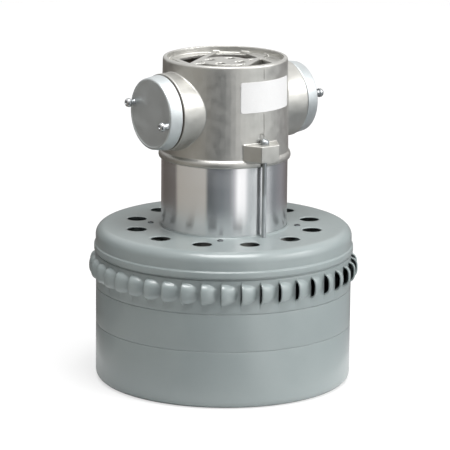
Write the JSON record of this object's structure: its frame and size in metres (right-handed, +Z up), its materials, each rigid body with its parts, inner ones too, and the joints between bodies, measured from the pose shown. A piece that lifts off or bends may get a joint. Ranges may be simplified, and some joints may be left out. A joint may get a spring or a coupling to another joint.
{
  "type": "vacuum motor",
  "caption": "Bypass vacuum motor: stacked fan case with exhaust louvres and vent cover, polished motor housing, cast bracket with brush bosses and caps.",
  "frame": {"origin": "centre of the flat bottom face, on the shaft's axis", "axes": "+Z up along the shaft, +X along the brush axis, -Y towards the front through bolt"},
  "size_m": [0.2248, 0.2248, 0.272],
  "materials": {
    "case_paint": "satin grey enamel on pressed steel",
    "fan_sheet": "plain rolled sheet",
    "steel": "bright zinc plated and ground steel",
    "dark_steel": "dark plated screws",
    "cast_aluminium": "die cast, satin",
    "polished_tube": "polished",
    "ball_steel": "polished balls",
    "core_iron": "stacked laminations",
    "copper": "copper, enamelled wire and turned bars",
    "phenolic": "moulded phenolic",
    "brass": "drawn brass",
    "carbon": "pressed carbon",
    "cap_enamel": "die cast, fine turned face",
    "label_stock": "white paper label, blank"
  },
  "bodies": {
    "motor": {"bottom_shell": "case_paint", "middle_shell": "case_paint", "louvre_shell": "case_paint", "case_top_plate": "case_paint", "vent_cover": "case_paint", "eye_plate_1": "fan_sheet", "eye_plate_2": "fan_sheet", "stationary_fan_1": "fan_sheet", "stationary_fan_2": "fan_sheet", "through_bolts": "steel", "bearing_spring": "steel", "cap_screws": "steel", "upper_bearing_outer": "steel", "lower_bearing_outer": "steel", "cover_screws": "dark_steel", "fan_end_bracket": "cast_aluminium", "commutator_bracket": "cast_aluminium", "motor_housing": "polished_tube", "stator_core": "core_iron", "field_coil_front": "copper", "field_coil_back": "copper", "brush_holder_left": "phenolic", "brush_holder_right": "phenolic", "brush_tube_left": "brass", "brush_tube_right": "brass", "brush_cap_left": "cap_enamel", "brush_cap_right": "cap_enamel", "label": "label_stock"},
    "rotor": {"shaft": "steel", "fan_1": "fan_sheet", "fan_2": "fan_sheet", "fan_3": "fan_sheet", "cooling_fan": "fan_sheet", "fan_spacers": "steel", "shaft_nut": "steel", "shaft_washer": "steel", "armature_core": "core_iron", "armature_winding": "copper", "commutator_hub": "phenolic", "commutator_bars": "copper", "upper_bearing_inner": "steel", "lower_bearing_inner": "steel"},
    "upper_balls": {"upper_bearing_balls": "ball_steel", "upper_bearing_cage": "brass"},
    "lower_balls": {"lower_bearing_balls": "ball_steel", "lower_bearing_cage": "brass"},
    "brush_left_body": {"brush_left": "carbon", "brush_spring_left": "steel"},
    "brush_right_body": {"brush_right": "carbon", "brush_spring_right": "steel"}
  },
  "joints": [
    {"name": "rotor_spin", "type": "hinge", "parent": "motor", "child": "rotor", "pos_m": [0, 0, 0], "axis": [0, 0, 1], "continuous": true},
    {"name": "upper_balls_spin", "type": "hinge", "parent": "motor", "child": "upper_balls", "pos_m": [0, 0, 0], "axis": [0, 0, 1], "continuous": true},
    {"name": "lower_balls_spin", "type": "hinge", "parent": "motor", "child": "lower_balls", "pos_m": [0, 0, 0], "axis": [0, 0, 1], "continuous": true},
    {"name": "brush_left_slide", "type": "slide", "parent": "motor", "child": "brush_left_body", "axis": [-1, 0, 0], "range_m": [0, 0.006], "stiffness_N_per_m": 150, "springref_m": -0.02, "deforming": ["brush_spring_left"]},
    {"name": "brush_right_slide", "type": "slide", "parent": "motor", "child": "brush_right_body", "axis": [1, 0, 0], "range_m": [0, 0.006], "stiffness_N_per_m": 150, "springref_m": -0.02, "deforming": ["brush_spring_right"]}
  ],
  "couplings": [
    {"joint": "upper_balls_spin", "follows": "rotor_spin", "ratio": 0.3909},
    {"joint": "lower_balls_spin", "follows": "rotor_spin", "ratio": 0.3909}
  ]
}
